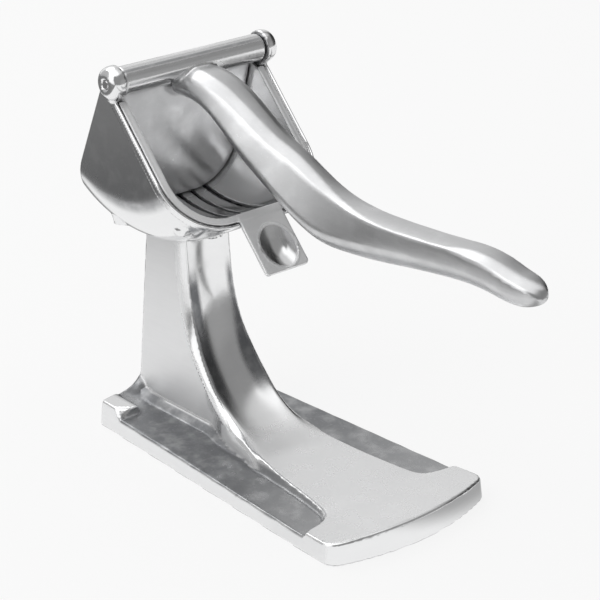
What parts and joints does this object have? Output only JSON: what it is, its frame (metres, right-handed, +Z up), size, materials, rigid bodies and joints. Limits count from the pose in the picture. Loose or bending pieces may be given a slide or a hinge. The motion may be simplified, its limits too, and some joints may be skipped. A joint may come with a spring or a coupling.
{
  "type": "lever citrus press",
  "caption": "Cast bench press for halved citrus fruit: an open trough with a slotted strainer on a curved post and flat base, and a long lever that turns on a pin.",
  "frame": {"origin": "centre of the base's underside, midway between its front and rear corners", "axes": "+Z up, -Y towards the lever's tip, X across, along the hinge"},
  "size_m": [0.09, 0.2413, 0.1747],
  "materials": {
    "polished_casting": "polished by hand, with fine wear",
    "satin_casting": "satin flange, polished inside",
    "pin_steel": "ground"
  },
  "bodies": {
    "stand": {"stand": "polished_casting", "strainer": "satin_casting", "hinge_pin": "pin_steel"},
    "lever": {"lever": "polished_casting"}
  },
  "joints": [
    {"name": "lever_hinge", "type": "hinge", "parent": "stand", "child": "lever", "pos_m": [0, 0.0556, 0.1675], "axis": [-1, 0, 0], "range_deg": [0, 105]}
  ]
}
